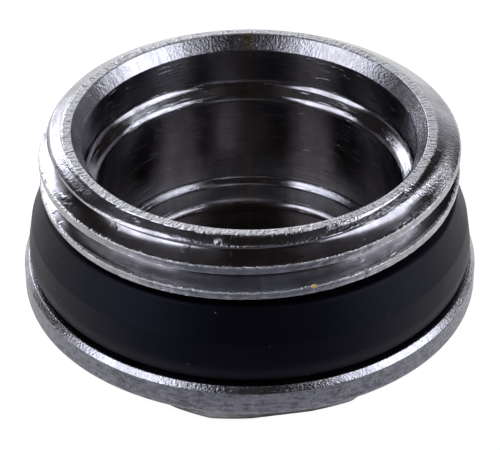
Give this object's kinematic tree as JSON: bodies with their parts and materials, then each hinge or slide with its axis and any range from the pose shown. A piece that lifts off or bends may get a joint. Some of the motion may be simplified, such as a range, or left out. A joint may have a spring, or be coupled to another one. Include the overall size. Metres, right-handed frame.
{
  "type": "manifold end plug",
  "caption": "Screw-in end plug for a pipe manifold: a plated cup with a male pipe thread, a round flange, an octagonal wrench boss and a thick black rubber seal on its neck.",
  "frame": {"origin": "middle of the wrench boss's lower face, on the axis of the thread", "axes": "+Z along the axis, out of the open end; +X square to one flat of the wrench boss; +Y square to another flat"},
  "size_m": [0.0364, 0.0364, 0.0183],
  "materials": {
    "body": "bright nickel plate over forged and turned brass",
    "seal": "matte black, slightly dusty"
  },
  "bodies": {
    "root": {"plug_body": "body", "seal_ring": "seal"}
  },
  "joints": []
}
